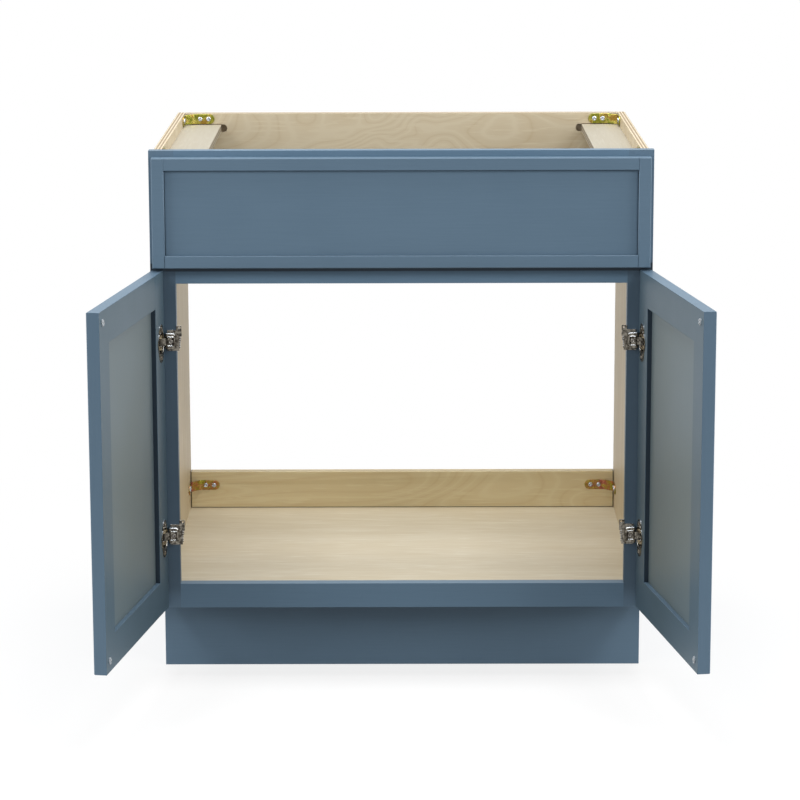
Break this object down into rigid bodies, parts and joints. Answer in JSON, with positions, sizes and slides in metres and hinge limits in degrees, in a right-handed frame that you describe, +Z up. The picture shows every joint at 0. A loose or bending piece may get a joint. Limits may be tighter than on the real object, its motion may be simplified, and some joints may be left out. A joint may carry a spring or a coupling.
{
  "type": "vanity base cabinet",
  "caption": "Face-frame vanity base cabinet with an open top and back, a fixed false drawer front and hinged slim-shaker doors over a recessed toe kick.",
  "frame": {"origin": "on the floor, at the middle of the width, in the middle of the toe-kick board's bottom face", "axes": "+X to the cabinet's right as seen from the front, +Y to the wall, +Z up"},
  "size_m": [0.8818, 0.9093, 0.8255],
  "materials": {
    "painted_wood": "satin steel-blue paint",
    "birch_plywood": "clear-coated birch plywood",
    "birch_board": "clear-coated birch",
    "zinc_bracket": "yellow passivated zinc",
    "zinc_screw": "bright zinc",
    "nickel_steel": "nickel plate",
    "clear_bumper": "clear soft plastic"
  },
  "bodies": {
    "cabinet": {"side_panel_left": "birch_plywood", "side_panel_right": "birch_plywood", "bottom_panel": "birch_plywood", "toe_kick_board": "painted_wood", "rear_bottom_rail": "birch_board", "rear_top_stretcher": "birch_board", "side_board_left": "birch_board", "side_board_right": "birch_board", "frame_stile_left": "painted_wood", "frame_stile_right": "painted_wood", "frame_top_rail": "painted_wood", "frame_mid_rail": "painted_wood", "frame_bottom_rail": "painted_wood", "false_front_stile_left": "painted_wood", "false_front_stile_right": "painted_wood", "false_front_top_rail": "painted_wood", "false_front_bottom_rail": "painted_wood", "false_front_panel": "painted_wood", "false_front_screws": "nickel_steel", "bracket_rear_top_left": "zinc_bracket", "bracket_rear_top_right": "zinc_bracket", "bracket_rear_low_left": "zinc_bracket", "bracket_rear_low_right": "zinc_bracket", "bracket_front_top_left": "zinc_bracket", "bracket_front_top_right": "zinc_bracket", "bracket_front_low_left": "zinc_bracket", "bracket_front_low_right": "zinc_bracket", "bracket_screws": "zinc_screw", "hinge_plate_top_left": "nickel_steel", "hinge_plate_low_left": "nickel_steel", "hinge_plate_top_right": "nickel_steel", "hinge_plate_low_right": "nickel_steel", "hinge_arm_top_left": "nickel_steel", "hinge_arm_low_left": "nickel_steel", "hinge_arm_top_right": "nickel_steel", "hinge_arm_low_right": "nickel_steel", "hinge_plate_screws": "nickel_steel", "hinge_cam_screws": "nickel_steel"},
    "door_left": {"door_left_hinge_stile": "painted_wood", "door_left_free_stile": "painted_wood", "door_left_top_rail": "painted_wood", "door_left_bottom_rail": "painted_wood", "door_left_panel": "painted_wood", "door_left_bumpers": "clear_bumper", "hinge_cup_top_left": "nickel_steel", "hinge_cup_low_left": "nickel_steel", "hinge_pins_left": "nickel_steel", "hinge_springs_left": "nickel_steel", "hinge_cup_screws_left": "nickel_steel"},
    "door_right": {"door_right_hinge_stile": "painted_wood", "door_right_free_stile": "painted_wood", "door_right_top_rail": "painted_wood", "door_right_bottom_rail": "painted_wood", "door_right_panel": "painted_wood", "door_right_bumpers": "clear_bumper", "hinge_cup_top_right": "nickel_steel", "hinge_cup_low_right": "nickel_steel", "hinge_pins_right": "nickel_steel", "hinge_springs_right": "nickel_steel", "hinge_cup_screws_right": "nickel_steel"}
  },
  "joints": [
    {"name": "door_left_hinge", "type": "hinge", "parent": "cabinet", "child": "door_left", "pos_m": [-0.37, -0.0932, 0.3805], "axis": [0, 0, 1], "range_deg": [-5.4, 99.4]},
    {"name": "door_right_hinge", "type": "hinge", "parent": "cabinet", "child": "door_right", "pos_m": [0.37, -0.0932, 0.3805], "axis": [0, 0, 1], "range_deg": [-99.4, 5.4]}
  ]
}
